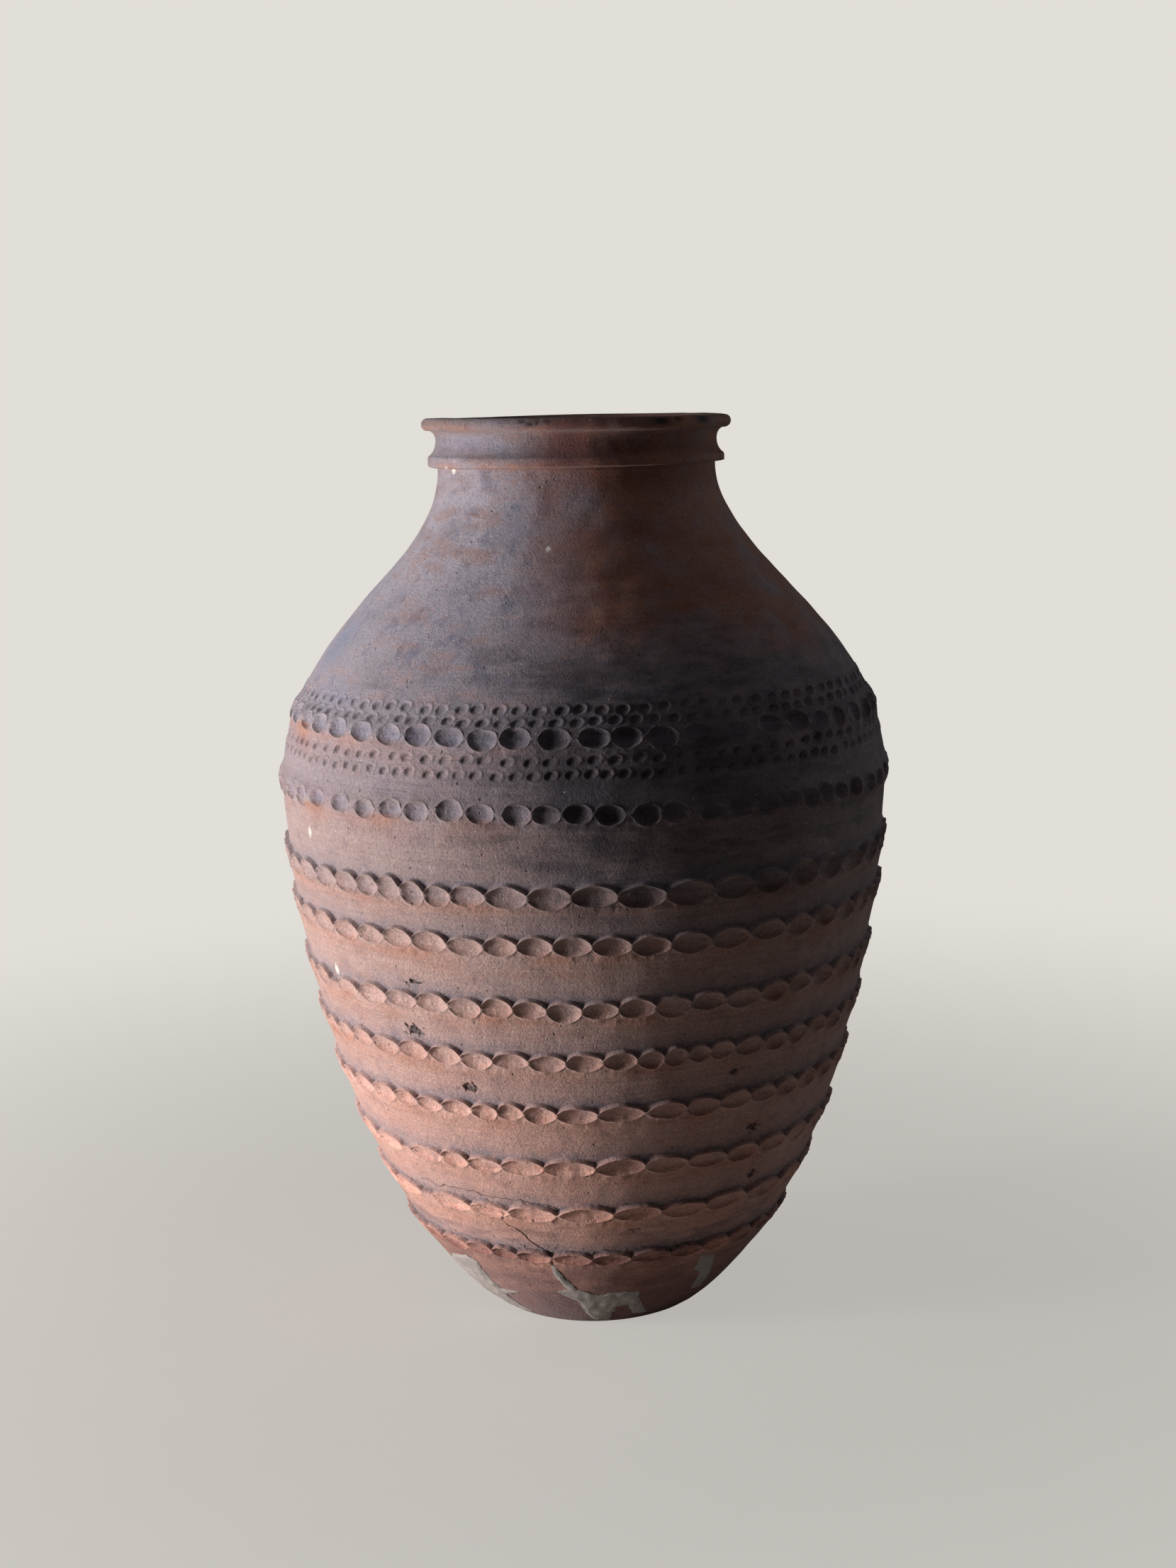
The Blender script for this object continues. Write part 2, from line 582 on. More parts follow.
def jagged(path, seed):
    """A broken line through the points of a path, split and shaken as a crack runs."""
    chance = np.random.default_rng(seed)
    places = np.array([(math.radians(turn) * CRACK_RADIUS, slope_at(height)) for turn, height in path])
    for _ in range(CRACK_HALVINGS):
        legs = np.diff(places, axis=0)
        square = np.stack([-legs[:, 1], legs[:, 0]], axis=1)
        shaken = places[:-1] + legs / 2 + square * chance.uniform(-CRACK_SWAY, CRACK_SWAY, (len(legs), 1))
        places = np.insert(places, np.arange(1, len(places)), shaken, axis=0)
    return places


crack_lines = [jagged(path, 31 + number) for number, path in enumerate(CRACKS)]


def off_leg(spots, start, end):
    """Distance of spots on the flattened wall from one straight leg of a line."""
    leg = end - start
    share = np.clip((spots - start) @ leg / (leg @ leg), 0, 1)
    return np.linalg.norm(spots - start - share[:, None] * leg, axis=1)


def off_crack(angle, slope):
    """Distance of places on the wall from the nearest crack."""
    spots = np.stack([angle * CRACK_RADIUS, slope], axis=1)
    nearest = np.full(len(angle), 1.0)
    for line in crack_lines:
        for start, end in zip(line, line[1:]):
            nearest = np.minimum(nearest, off_leg(spots, start, end))
    return nearest


def crack_share(angle, slope):
    """How deep in a crack places on the wall lie: 1 at its bottom and 0 off it."""
    return np.exp(-((off_crack(angle, slope) / CRACK_WIDTH) ** 2))


chip_drift = waves(34, 70, 0.0025, 0.008, 0.5)


def wear_of_wall(angle, slope, height):
    """How far cracks and chips go into the wall, and how dark and how sooty they are."""
    crack = crack_share(angle, slope)
    sunk = CRACK_DEPTH * crack
    chipped = np.zeros_like(angle)
    drift = chip_drift(angle, height)
    for middle, size, depth in CHIPS:
        spot = near(angle, height, middle, size * CHIP_SHAPE, size)
        spot = np.clip(2.6 * (spot - 0.35 + 0.35 * drift * (spot > 0.08)), 0, 1)
        sunk = sunk + depth * spot * (1 + 0.5 * drift)
        chipped = np.maximum(chipped, spot)
    return sunk, CRACK_DARK * crack, chipped


def wall_ring(low, high, steps, row, fine_zone=None, fine_row=None):
    """A ring of wall between two seams, with closer rows of points in the zone that is punched."""
    low_slope = slope_at(low)
    high_slope = slope_at(high)
    rows = max(4, round((high_slope - low_slope) / row))
    outer = np.linspace(low_slope, high_slope, rows + 1)
    if fine_zone is not None:
        fine = np.arange(*slope_at(np.array(fine_zone)), fine_row)
        coarse = outer[(outer < fine[0] - fine_row) | (outer > fine[-1] + fine_row)]
        outer = np.unique(np.concatenate([[low_slope], coarse, fine, [high_slope]]))
    inner = np.linspace(high_slope, low_slope, max(4, rows // 3))
    section = [wall_point(slope) for slope in outer] + [inner_point(slope) for slope in inner]
    return turned(section, steps)


def split_edges(shape, close, cuts):
    """Splits the edges whose two ends are close to something finer than the rows of points."""
    shape.verts.index_update()
    edges = [edge for edge in shape.edges if all(close[point.index] for point in edge.verts)]
    if edges:
        bmesh.ops.subdivide_edges(shape, edges=edges, cuts=cuts, use_grid_fill=True)


def split_near_cracks(shape):
    """Splits the faces that a crack or a chip runs through, so that it can be cut sharp."""
    angle, radius, height = round_jar(np.array([point.co for point in shape.verts]))
    close = off_crack(angle, slope_at(height)) < CRACK_REACH
    for middle, size, _ in CHIPS:
        close |= near(angle, height, middle, size * CHIP_SHAPE, size) > 0.05
    split_edges(shape, close & on_outside(radius, height), CRACK_CUTS)


inside_dents = waves(14, 30, 0.02, 0.09, 0.0007)
# Up to the eighth band each course leans out to its top edge, by this much and along this curve
STEP = 0.0034
STEP_CURVE = 1.6
STEPPED_BANDS = 8
FOOT_STEP_START = 0.030
band_slopes = slope_at(np.array(BAND_HEIGHTS))


def stepped_out(slope, band):
    """How far the course under a band leans out to its top edge, inside which the next one is set."""
    if band > STEPPED_BANDS:
        return np.zeros_like(slope)
    low = slope_at(FOOT_STEP_START) if band == 1 else band_slopes[band - 2]
    share = np.clip((slope - low) / (band_slopes[band - 1] - low), 0, 1)
    return STEP * share**STEP_CURVE


# The two top bands are not level: angles round the jar, and how far each band lies off its height there
SAG_ANGLES = (-180, -150, -133, -120, -107, -95, -70, -56, -45, -30, 60, 180)
LEVEL = (0,) * len(SAG_ANGLES)
SAGS = {
    9: (-0.001, -0.002, -0.001, 0.001, 0.001, 0, -0.0015, -0.003, -0.004, -0.0065, -0.003, -0.001),
    10: (-0.001, -0.001, -0.0015, -0.002, -0.003, -0.0035, -0.003, -0.003, -0.004, -0.006, -0.003, -0.001),
}


def band_line(angle, band):
    """How far up the wall's slope the middle of a band runs."""
    return band_slopes[band - 1] + np.interp(np.degrees(angle), SAG_ANGLES, SAGS.get(band, LEVEL))


# How far a band's skirt hangs down over the wall and laps on to it, how far the plain strips of the top
# bands cover the wall, how far the other bands cover it above them, and how deep it is cut back there
SKIRT = 0.0150
SKIRT_LAP = 0.0040
STRIP_COVER = 0.0085
FLANK_COVER = 0.0050
PARED = 0.006
PARED_SLOPE = 0.0025


def pared(angle, slope, band):
    """How far a ring of wall is cut back where the bands along its two edges cover it."""
    cut = np.zeros_like(slope)
    if band <= len(BAND_HEIGHTS):
        cover = SKIRT - SKIRT_LAP if band <= STEPPED_BANDS else STRIP_COVER
        cut = PARED * rising(slope - band_line(angle, band), -cover, PARED_SLOPE - cover)
    if band > 1:
        reach = FLANK_COVER if band - 1 <= STEPPED_BANDS else STRIP_COVER
        cut = cut + PARED * rising(band_line(angle, band - 1) - slope, -reach, PARED_SLOPE - reach)
    return cut


def work_wall(piece, band, press=None):
    """Dents the outside of the ring of wall under a band, cuts its cracks and chips, and paints it."""
    angle, radius, height = points_of(piece)
    outside = on_outside(radius, height)
    slope = slope_at(height)
    sunk, dark, chipped = wear_of_wall(angle, slope, height)
    proud = hand_built(angle, height) + stepped_out(slope, band) - sunk - pared(angle, slope, band)
    hollow = np.zeros_like(angle)
    if press is not None:
        pressed, hollow = press(angle, slope)
        proud = proud + pressed
    placed_radius, placed_height = wall_point(slope, proud)
    inside = radius < wall_radius(height) - WALL * 0.6
    inside_radius = radius + inside_dents(angle, height) * inside
    move_points(
        piece,
        angle,
        np.where(outside, placed_radius, inside_radius),
        np.where(outside, placed_height, height),
    )
    paint(piece, angle, height, dark=dark + 0.60 * chipped + hollow, soot=0.5 * chipped)


shape = wall_ring(FOOT_SEAM, BAND_HEIGHTS[0], FOOT_STEPS, FOOT_ROW)
split_near_cracks(shape)
foot_course = finished(shape, "foot_course_clay")
work_wall(foot_course, 1)
settle(foot_course, red_clay, "red_clay", "foot_course")


# The body courses. Nine coils of sandy clay, each laid on the bevelled top of the one below, drawn up
# and wiped level with a wet rag, so that faint lines run round the jar between the bands.
BODY_STEPS = 24
BODY_ROW = 0.0026
BODY_COURSES = len(BAND_HEIGHTS) - 1

wall_clay = fired_clay("wall_clay", roughness=0.80, wiped=0.8, mottled=0.6, coarse=1.0)

# Punches in rows above and below the top band: height, number round the jar, half width, half height,
# depth, how much clay the tool threw up on its far side, and how far the tool was slanted
PUNCH_ROWS = (
    (0.5725, 92, 0.0053, 0.0040, 0.0018, 0.0008, 0.30),
    (0.5632, 101, 0.0053, 0.0039, 0.0018, 0.0008, 0.30),
    (0.5345, 94, 0.0054, 0.0036, 0.0016, 0.0007, 0.55),
    (0.5232, 111, 0.0050, 0.0035, 0.0015, 0.0007, 0.55),
)
PUNCH_SHIFT = 0.13
PUNCH_DROP = 0.0011
PUNCH_FORCE = (0.7, 1.15)
PUNCH_DIRT = 0.42
# Heights between which the wall is punched, below the top band and above it
PUNCHED_BELOW = (0.517, 0.541)
PUNCHED_ABOVE = (0.555, 0.580)
PUNCHED_STEPS = 30
PUNCHED_ROW = 0.0021


def punches(angle, slope):
    """Relief of the punch rows, and how dark their hollows are."""
    pressed = np.zeros_like(angle)
    hollow = np.zeros_like(angle)
    for number, (height, count, wide, high, depth, thrown, slanted) in enumerate(PUNCH_ROWS):
        chance = np.random.default_rng(50 + number)
        pitch = 2 * math.pi / count
        shift = chance.uniform(-PUNCH_SHIFT, PUNCH_SHIFT, count) * pitch
        drop = chance.uniform(-PUNCH_DROP, PUNCH_DROP, count)
        force = chance.uniform(*PUNCH_FORCE, count)
        nearest = np.round((angle + math.pi) / pitch).astype(int)
        for step in (-1, 0, 1):
            punch = (nearest + step) % count
            middle = punch * pitch - math.pi + shift[punch]
            right = turn_from(middle, angle) * wall_point(slope)[0] / wide
            up = (slope - slope_at(height) - drop[punch]) / high - 0.25 * right
            away = np.hypot(right, up)
            slant = np.clip(0.85 - slanted * (right - 0.6 * up), 0, 1.2)
            hole = np.clip(1 - away**6, 0, 1)
            far_side = rising(right + 0.5 * up, -0.2, 0.9)
            lip = np.exp(-(((away - 1.16) / 0.16) ** 2)) * (0.25 + 0.75 * far_side)
            pressed = pressed + force[punch] * (thrown * lip - depth * slant * hole)
            dirt = PUNCH_DIRT * force[punch] * hole * rising(slant, 0.5, 1.10)
            hollow = np.maximum(hollow, dirt)
    return pressed, hollow


def split_for_punches(shape, zone):
    """Splits the faces of the outside between two heights, to make room for the punches."""
    _, radius, height = round_jar(np.array([point.co for point in shape.verts]))
    punched = (height >= zone[0]) & (height <= zone[1])
    split_edges(shape, punched & on_outside(radius, height), 1)


for number in range(1, BODY_COURSES + 1):
    low = BAND_HEIGHTS[number - 1]
    high = BAND_HEIGHTS[number]
    punched = number == BODY_COURSES
    if punched:
        shape = wall_ring(low, high, PUNCHED_STEPS, BODY_ROW, PUNCHED_BELOW, PUNCHED_ROW)
        split_for_punches(shape, PUNCHED_BELOW)
    else:
        shape = wall_ring(low, high, BODY_STEPS, BODY_ROW)
    split_near_cracks(shape)
    body_course = finished(shape, f"body_course_{number}_clay")
    work_wall(body_course, number + 1, punches if punched else None)
    settle(body_course, wall_clay, "wall_clay", f"body_course_{number}")


# The shoulder and neck courses. Two coils drawn in over the belly to the neck, smoother than the body
# and clouded grey and black by the kiln fire. Two rows of punches run round the shoulder's lower edge.
SHOULDER_SEAM = (BAND_HEIGHTS[-1] + NECK_TOP) / 2
ABOVE_BANDS = len(BAND_HEIGHTS) + 1
SHOULDER_ROW = 0.0034
NECK_STEPS = 24
NECK_ROW = 0.0017

smoked_clay = fired_clay("smoked_clay", roughness=0.76, wiped=0.4, mottled=0.9, coarse=0.7)

shape = wall_ring(
    BAND_HEIGHTS[-1], SHOULDER_SEAM, PUNCHED_STEPS, SHOULDER_ROW, PUNCHED_ABOVE, PUNCHED_ROW)
split_for_punches(shape, PUNCHED_ABOVE)
shoulder_course = finished(shape, "shoulder_course_clay")
work_wall(shoulder_course, ABOVE_BANDS, punches)
settle(shoulder_course, smoked_clay, "smoked_clay", "shoulder_course")

shape = wall_ring(SHOULDER_SEAM, NECK_TOP, NECK_STEPS, NECK_ROW)
neck_course = finished(shape, "neck_course_clay")
work_wall(neck_course, ABOVE_BANDS)
settle(neck_course, smoked_clay, "smoked_clay", "neck_course")


# The rim collar. A ring of clay luted on the neck and shaped with a wet rag held between the fingers:
# a rounded moulding, a hollow groove and an out-turned lip, with old knocks along its edge.
RIM_TOP = 0.800
MOUTH_RADIUS = NECK_RADIUS - WALL
MOULDING_RADIUS = 0.1305
MOULDING_HEIGHT = 0.010
MOULDING_ROUND = 0.0028
GROOVE_RADIUS = 0.123
LIP_RADIUS = 0.136
LIP_THICKNESS = 0.011
MOUTH_ROUND = 0.010
BRIM_RINGS = (0.1265, 0.1225, 0.1195)
BORE_RINGS = (0.781, 0.771, 0.761)
RIM_STEPS = 30
RIM_DROOP = 0.0012
# Knocks: angle round the jar and height, half width, half height, depth, and how dark the dirt in it is
KNOCKS = (
    ((-58.0, 0.797), 0.0110, 0.0045, 0.0016, 1.0), ((-50.0, 0.798), 0.0040, 0.0030, 0.0012, 0.7),
    ((-37.0, 0.797), 0.0085, 0.0040, 0.0014, 1.0), ((-101.0, 0.799), 0.0120, 0.0030, 0.0006, 0.35),
    ((-105.5, 0.7955), 0.0034, 0.0022, 0.0009, 0.9), ((-102.8, 0.7965), 0.0026, 0.0026, 0.0008, 0.8),
    ((-108.5, 0.7975), 0.0030, 0.0016, 0.0007, 0.7), ((-99.0, 0.7975), 0.0030, 0.0016, 0.0006, 0.6),
    ((-149.6, 0.7590), 0.0035, 0.0030, 0.0016, 0.0), ((35.0, 0.797), 0.0070, 0.0040, 0.0018, 0.5),
    ((128.0, 0.796), 0.0060, 0.0040, 0.0016, 0.4),
)


def arc(middle, radius, start, end, count):
    """Points along an arc of the half section, angles in degrees from straight out."""
    turns = np.radians(np.linspace(start, end, count))
    across, up = middle
    return [(across + radius * math.cos(turn), up + radius * math.sin(turn)) for turn in turns]


moulding_middle = MOULDING_RADIUS - MOULDING_ROUND
nose = (LIP_RADIUS - LIP_THICKNESS / 2, RIM_TOP - LIP_THICKNESS / 2)
groove_low = NECK_TOP + MOULDING_HEIGHT
groove_high = RIM_TOP - LIP_THICKNESS
rim_section = [(NECK_RADIUS, NECK_TOP), (NECK_RADIUS + 0.003, NECK_TOP + 0.0002)]
rim_section += arc((moulding_middle, NECK_TOP + MOULDING_ROUND), MOULDING_ROUND, -88, -4, 7)
rim_section += arc((moulding_middle, groove_low - MOULDING_ROUND), MOULDING_ROUND, 4, 62, 6)
groove = geometry.interpolate_bezier(
    Vector((rim_section[-1][0], 0, rim_section[-1][1])),
    Vector((GROOVE_RADIUS - 0.0010, 0, groove_low + 0.0050)),
    Vector((GROOVE_RADIUS - 0.0020, 0, groove_high - 0.0020)),
    Vector((nose[0] - 0.0010, 0, groove_high + 0.0002)),
    16,
)
rim_section += [(point.x, point.z) for point in groove[1:]]
rim_section += arc(nose, LIP_THICKNESS / 2, -86, 88, 16)
rim_section += [(ring, RIM_TOP) for ring in BRIM_RINGS]
rim_section += arc((MOUTH_RADIUS + MOUTH_ROUND, RIM_TOP - MOUTH_ROUND), MOUTH_ROUND, 90, 180, 10)
rim_section += [(MOUTH_RADIUS, ring) for ring in BORE_RINGS]
rim_section += [inner_point(slope_at(NECK_TOP))]
rim_collar = finished(turned(rim_section, RIM_STEPS), "rim_collar_clay")
angle, radius, height = points_of(rim_collar)
lip_sway = waves(41, 8, 0.10, 0.30, 0.0005)
lip_dents = waves(42, 40, 0.012, 0.05, 0.00018)
free = rising(height, NECK_TOP - 0.001, NECK_TOP + 0.004)
knocked = np.zeros_like(angle)
dirty = np.zeros_like(angle)
for middle, wide, high, depth, dark in KNOCKS:
    spot = near(angle, height, middle, wide, high) * (radius > GROOVE_RADIUS)
    knocked = knocked + depth * spot
    dirty = np.maximum(dirty, dark * spot)
outward = np.sign(radius - (MOUTH_RADIUS + LIP_RADIUS) / 2)
dented = lip_dents(angle, height) - knocked
joined_neck = hand_built(angle, np.minimum(height, NECK_TOP)) * (radius > GROOVE_RADIUS - 0.002)
# The top edge sways up and down, drops at the knocks and droops towards the right
level = lip_sway(angle + 1, np.full_like(height, NECK_TOP)) * free
level = level - 0.6 * knocked * (height > RIM_TOP - 0.006)
level = level - RIM_DROOP * (1 + np.cos(angle)) * free
move_points(
    rim_collar,
    angle,
    radius + joined_neck + free * (lip_sway(angle, height) + outward * dented),
    height + level,
)
# Dirt lies in the corner under the moulding, all round
corner = near(angle, height, (0, NECK_TOP + 0.0005), 9.0, 0.0016)
corner = corner * (radius < MOULDING_RADIUS - 0.001) * (radius > GROOVE_RADIUS - 0.003)
paint(rim_collar, angle, height, dark=dirty + 0.6 * corner)
settle(rim_collar, smoked_clay, "smoked_clay", "rim_collar")


# The thumb bands. Ten strips of soft clay pressed over the seams with the thumb, mark beside mark.
# Each mark is an oval dish with a lip pushed up round it, and the strip's lower edge is smeared down.
BAND_STEPS = 44
BAND_BEDDING = 0.003
MARK_DROP = 0.0016
MARK_SPREAD = 0.10
MARK_FORCE = (0.84, 1.10)
MARK_SHIFT = 0.12

band_clay = fired_clay("band_clay", roughness=0.80, wiped=0.8, mottled=0.6, coarse=1.0)

# Each band: marks that show at the front, in degrees round the jar, their number all round, the
# longest half length, half height, how proud the lip is, clay left under the thumb, and how proud
# the plain strip between the marks is where they are pressed apart
BANDS = (
    ((-137.6, -126.0, -118.5, -109.4, -96.8, -86.6, -74.1),
     35, 0.019, 0.0068, 0.0040, 0.0008, 0.0000),
    ((-149.1, -129.4, -118.2, -107.4, -92.0, -79.6, -67.3),
     28, 0.024, 0.0080, 0.0041, 0.0004, 0.0000),
    ((-147.6, -131.7, -124.2, -116.5, -106.9, -96.3, -83.6, -73.8, -63.2),
     37, 0.023, 0.0082, 0.0040, 0.0002, 0.0000),
    ((-150.0, -140.8, -133.5, -127.2, -119.8, -112.7, -107.8, -101.4, -93.7, -84.5, -74.0, -66.8),
     48, 0.019, 0.0080, 0.0040, 0.0000, 0.0000),
    ((-150.7, -143.8, -135.7, -128.0, -119.8, -113.1, -106.0, -98.7, -91.4, -84.3, -78.3, -73.6, -68.4,
      -64.3),
     54, 0.016, 0.0080, 0.0040, -0.0002, 0.0000),
    ((-155.6, -144.6, -136.2, -128.5, -121.2, -113.8, -107.5, -101.4, -94.9, -88.2, -81.6, -74.3, -67.8,
      -60.3),
     50, 0.017, 0.0084, 0.0040, -0.0003, 0.0000),
    ((-156.5, -148.6, -140.5, -133.3, -127.1, -119.8, -112.1, -105.8, -99.6, -93.1, -85.8, -79.1, -71.7,
      -63.9, -55.7),
     50, 0.017, 0.0086, 0.0040, -0.0003, 0.0000),
    ((-152.3, -144.9, -138.2, -132.4, -127.3, -121.9, -117.1, -111.5, -104.1, -96.6, -89.0, -80.7,
      -72.0, -63.1, -56.1, -48.4, -40.9, -33.1, -23.9),
     51, 0.02, 0.0098, 0.0040, -0.0006, 0.0000),
    ((-152.3, -145.5, -138.1, -131.5, -125.3, -119.8, -113.4, -107.8, -101.4, -96.5, -91.2, -85.8,
      -79.5, -74.7, -68.0, -62.4, -56.6, -51.5, -46.7, -42.2, -38.3, -32.7, -26.6),
     63, 0.0115, 0.0082, 0.0000, -0.0012, 0.0036),
    ((-149.1, -142.1, -134.8, -127.6, -120.9, -114.4, -108.0, -102.0, -95.0, -88.0, -82.3, -75.8, -69.1,
      -60.8, -53.9, -46.9, -40.8, -34.8, -27.7),
     53, 0.0125, 0.0086, 0.0000, -0.0012, 0.0036),
)
# The ridge that the thumb pushes up along a mark's rim, how wide a mark is where it meets the next one,
# and how its rim runs out there, as a power
RIDGE = 0.0006
RIDGE_WIDTH = 0.0010
CUSP = 0.10
POINTED_END = 0.62
ROUND_END = 0.50
# Where a plain strip ends, in half heights of its marks, the length of a skirt's tail and of the flank
# above a mark, how far each is tucked into the wall, how far a skirt stands off it, and how deep gaps go
STRIP_REACH = 2.2
SKIRT_TAIL = 0.004
FLANK_RUN = 0.0045
STRIP_TUCK = 0.0004
SKIRT_TUCK = 0.0013
SKIRT_STANDS = 0.00012
FLANK_TUCK = 0.0007
GAP_DEPTH = 0.002

# Rows of points across a band. The middle ones run from the lower rim of the marks to the upper rim, so
# that both rims are crisp. The next ones lie a little outside the rims, and the rest go on to the edges.
DISH_ROWS = 15
RIM_OUT = (0.0004, 0.0010, 0.0017)
EDGE_ROWS = 5
PUNCHED_EDGE_ROWS = 14


def rows_across(edge_rows):
    """For each row: the side of the marks, the place between their rims, the distance outside a rim,
    and the share of the way to the band's edge."""
    outer = [(1, 1, RIM_OUT[-1], number / edge_rows) for number in range(1, edge_rows + 1)]
    upper = [(1, 1, out, 0) for out in RIM_OUT] + outer
    lower = [(-1, -1, out, share) for side, place, out, share in reversed(upper)]
    dish = [(0, math.sin(turn), 0, 0) for turn in np.linspace(-math.pi / 2, math.pi / 2, DISH_ROWS)]
    return np.array(lower + dish + upper, dtype=float)


def marks_round(seen, count, chance):
    """Angles of all the marks of a band: those that show, and the rest spaced out behind."""
    hidden = count - len(seen)
    gap = 360 - (seen[-1] - seen[0])
    pitch = gap / (hidden + 1)
    shift = chance.uniform(-MARK_SHIFT, MARK_SHIFT, hidden) * pitch
    behind = seen[-1] + pitch * np.arange(1, hidden + 1) + shift
    return np.radians(np.concatenate([seen, behind]))


rim_wobble = waves(63, 40, 0.016, 0.050, 0.045)


def thumbed(angle, row, band, marks, chance, sizes, edges):
    """Where each point of a band lies across it, its relief, its share of a dish, and its share of the
    flank behind the marks. The rims of neighbouring marks run together in a point."""
    longest, half_height, proud, left, strip = sizes
    side, place, out, share_to_edge = row
    middle = band_slopes[band - 1]
    radius = wall_point(middle)[0]
    count = len(marks)
    tall = half_height * chance.uniform(1 - MARK_SPREAD, 1 + MARK_SPREAD, count)
    drop = chance.uniform(-MARK_DROP, MARK_DROP, count)
    force = chance.uniform(*MARK_FORCE, count)
    ordered = (marks - marks[0]) % (2 * math.pi)
    turned_angle = (angle - marks[0]) % (2 * math.pi)
    before = np.searchsorted(ordered, turned_angle, side="right") - 1
    after = (before + 1) % count
    gap = (ordered[after] - ordered[before]) % (2 * math.pi)
    run = turned_angle - ordered[before]
    along = np.clip(np.minimum(run, gap - run) * radius / np.minimum(longest, gap * radius / 2), 0, 1)
    passed = rising(run / gap, 0.2, 0.8)

    def blended(values):
        return values[before] + (values[after] - values[before]) * passed

    wobble = rim_wobble(angle, BAND_HEIGHTS[band - 1] + 0.010 * place)
    narrowing = (1 - along**2) ** (ROUND_END if strip else POINTED_END)
    rim = blended(tall) * (CUSP + (1 - CUSP) * narrowing)
    rim = rim * (1 + wobble)
    across = blended(drop) + place * rim + side * out
    across = across + share_to_edge * (np.where(side > 0, edges[1], edges[0]) - across)
    in_dish = (side == 0) * (1 - along**2.6) * (1 - np.abs(place) ** 2.4) * (1 + wobble)
    off_rim = np.where(side == 0, (1 - np.abs(place)) * rim, out + share_to_edge)
    flank = (side > 0) * rising(out, 0, RIM_OUT[-1])
    ridge = RIDGE * np.exp(-((off_rim / RIDGE_WIDTH) ** 2))
    if strip:
        unpressed = strip * np.exp(-((across / (1.25 * half_height)) ** 2))
        ridge = ridge * rising(1 - along, 0, 0.08)
        pressed = (strip - left) * blended(force) * in_dish
    else:
        below = stepped_out(middle + across, band)
        lip = proud * (0.6 + 0.4 * blended(force))
        unpressed = below + (lip - below) * rising(place, -1, 0.2)
        unpressed = unpressed * (1 - flank)
        ridge = ridge * (1 - flank)
        pressed = (proud - left) * blended(force) * in_dish
    return across, unpressed + ridge - pressed, np.clip(in_dish, 0, 1), flank


band_crumbs = waves(61, 60, 0.004, 0.014, 0.00018)
crust = waves(62, 60, 0.003, 0.008, 0.0005)
# Bands with old dirt crusted behind their marks, and bands with a bluish bloom in their marks
CRUSTED_BANDS = {1: 1.0, 2: 0.7}
BLUE_MARKS = {8: 0.15, 9: 0.35, 10: 0.45}
# Dark gaps behind a band: place, half width and half height
GAPS = (
    ((-97.4, 0.0985), 0.0055, 0.0018),
    ((-83.7, 0.149), 0.0016, 0.0016),
    ((-118.0, 0.0985), 0.0040, 0.0012),
)
for number, (seen, count, *sizes) in enumerate(BANDS, start=1):
    chance = np.random.default_rng(100 + number)
    middle = band_slopes[number - 1]
    half_height = sizes[1]
    stands_apart = number > STEPPED_BANDS
    punched = number == len(BANDS)
    if stands_apart:
        edges = (-STRIP_REACH * half_height, STRIP_REACH * half_height)
    else:
        edges = (-SKIRT - SKIRT_TAIL, 1.2 * half_height + FLANK_RUN)
    rows = rows_across(PUNCHED_EDGE_ROWS if punched else EDGE_ROWS)
    level = np.linspace(*edges, len(rows))
    section = [wall_point(middle + across) for across in level]
    bed = (edges[1], sum(edges) / 2, edges[0])
    section += [wall_point(middle + across, -BAND_BEDDING) for across in bed]
    steps = round(BAND_STEPS * wall_point(middle)[0] / BELLY_RADIUS)
    thumb_band = finished(turned(section, steps), f"thumb_band_{number}_clay")
    angle, radius, plain_height = points_of(thumb_band)
    top = radius > wall_radius(plain_height) - BAND_BEDDING / 3
    row = np.interp(slope_at(plain_height) - middle, level, np.arange(len(rows)))
    row = np.rint(row).astype(int)
    marks = marks_round(seen, count, chance)
    across, relief, hollow, flank = thumbed(angle, rows[row].T, number, marks, chance, sizes, edges)
    slope = band_line(angle, number) + across
    height = np.where(top, wall_point(slope)[1], plain_height)
    crack = crack_share(angle, slope)
    gap = np.zeros_like(angle)
    for place, wide, high in GAPS:
        gap = np.maximum(gap, near(angle, height, place, wide, high))
    crusted = CRUSTED_BANDS.get(number, 0) * flank
    crusty = crust(angle, height)
    above_skirt = 1 - rising(-across, 0.010, 0.014)
    rough = (1 - flank) * above_skirt * band_crumbs(angle, height) + crusted * crusty
    if stands_apart:
        tucked = STRIP_TUCK * rising(np.abs(across), 1.5 * half_height, STRIP_REACH * half_height)
    else:
        tucked = SKIRT_TUCK * rising(-across, SKIRT, SKIRT + SKIRT_TAIL) - SKIRT_STANDS
        share_to_edge = rows[row, 3]
        tucked = tucked + FLANK_TUCK * flank * share_to_edge
    proud = hand_built(angle, height) + relief + rough - tucked - CRACK_DEPTH * crack - GAP_DEPTH * gap
    if punched:
        pressed, dark_hollow = punches(angle, slope)
        proud = proud + pressed
        gap = gap + dark_hollow
    placed_radius, placed_height = wall_point(slope, proud)
    placed_radius = np.where(top, placed_radius, radius)
    placed_height = np.where(top, placed_height, plain_height)
    move_points(thumb_band, angle, placed_radius, placed_height)
    dust = np.sqrt(flank) * (0.25 if stands_apart else 0.85)
    dark = CRACK_DARK * crack + gap + crusted * (0.3 + 0.5 * rising(-crusty, 0, 0.0006))
    paint(thumb_band, angle, height, dust=dust, dark=dark, bloom=BLUE_MARKS.get(number, 0) * hollow)
    settle(thumb_band, band_clay, "band_clay", f"thumb_band_{number}")


